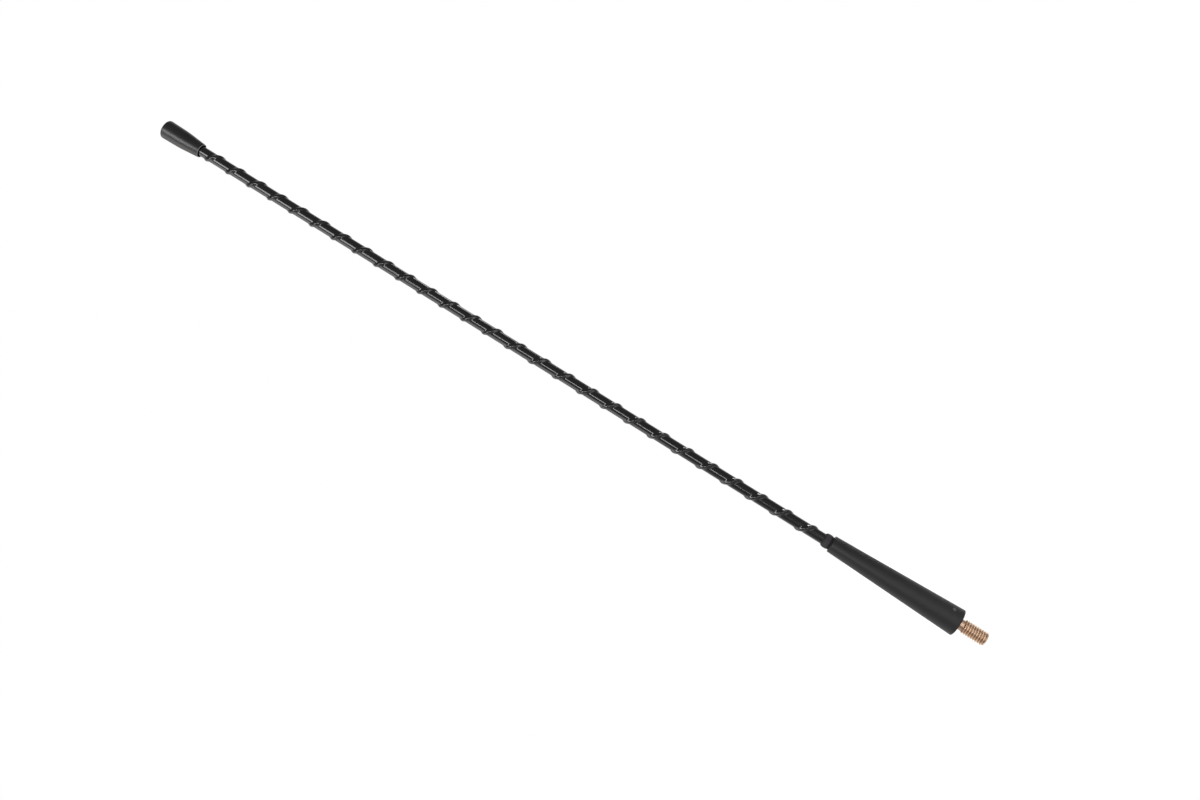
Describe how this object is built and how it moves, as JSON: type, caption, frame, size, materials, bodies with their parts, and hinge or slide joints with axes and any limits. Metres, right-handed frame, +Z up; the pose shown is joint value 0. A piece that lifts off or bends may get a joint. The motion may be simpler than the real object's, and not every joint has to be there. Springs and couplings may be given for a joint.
{
  "type": "spiral car antenna",
  "caption": "Screw-in roof antenna mast for a car, with a spiral ridge along the whip, a moulded tip cap, a tapered handle and a brass threaded stud.",
  "frame": {"origin": "middle of the handle's flat bottom face, which seats on the car's antenna foot", "axes": "+Z up the mast's axis to the tip, -Z out along the threaded stud; the spiral ridge crosses +X 5 mm above the collar"},
  "size_m": [0.0111, 0.011, 0.393],
  "materials": {
    "cap_plastic": "satin black moulded plastic",
    "jacket_plastic": "glossy black moulded jacket",
    "glass_fibre": "pultruded glass-fibre rod, bonded in",
    "copper": "bare drawn copper wire",
    "collar_rubber": "matte dark elastomer",
    "handle_plastic": "matte charcoal moulded plastic",
    "brass": "turned, coppery tone"
  },
  "bodies": {
    "root": {"tip_cap": "cap_plastic", "mast_jacket": "jacket_plastic", "core_rod": "glass_fibre", "conductor": "copper", "collar": "collar_rubber", "handle": "handle_plastic", "ferrule": "brass"}
  },
  "joints": []
}
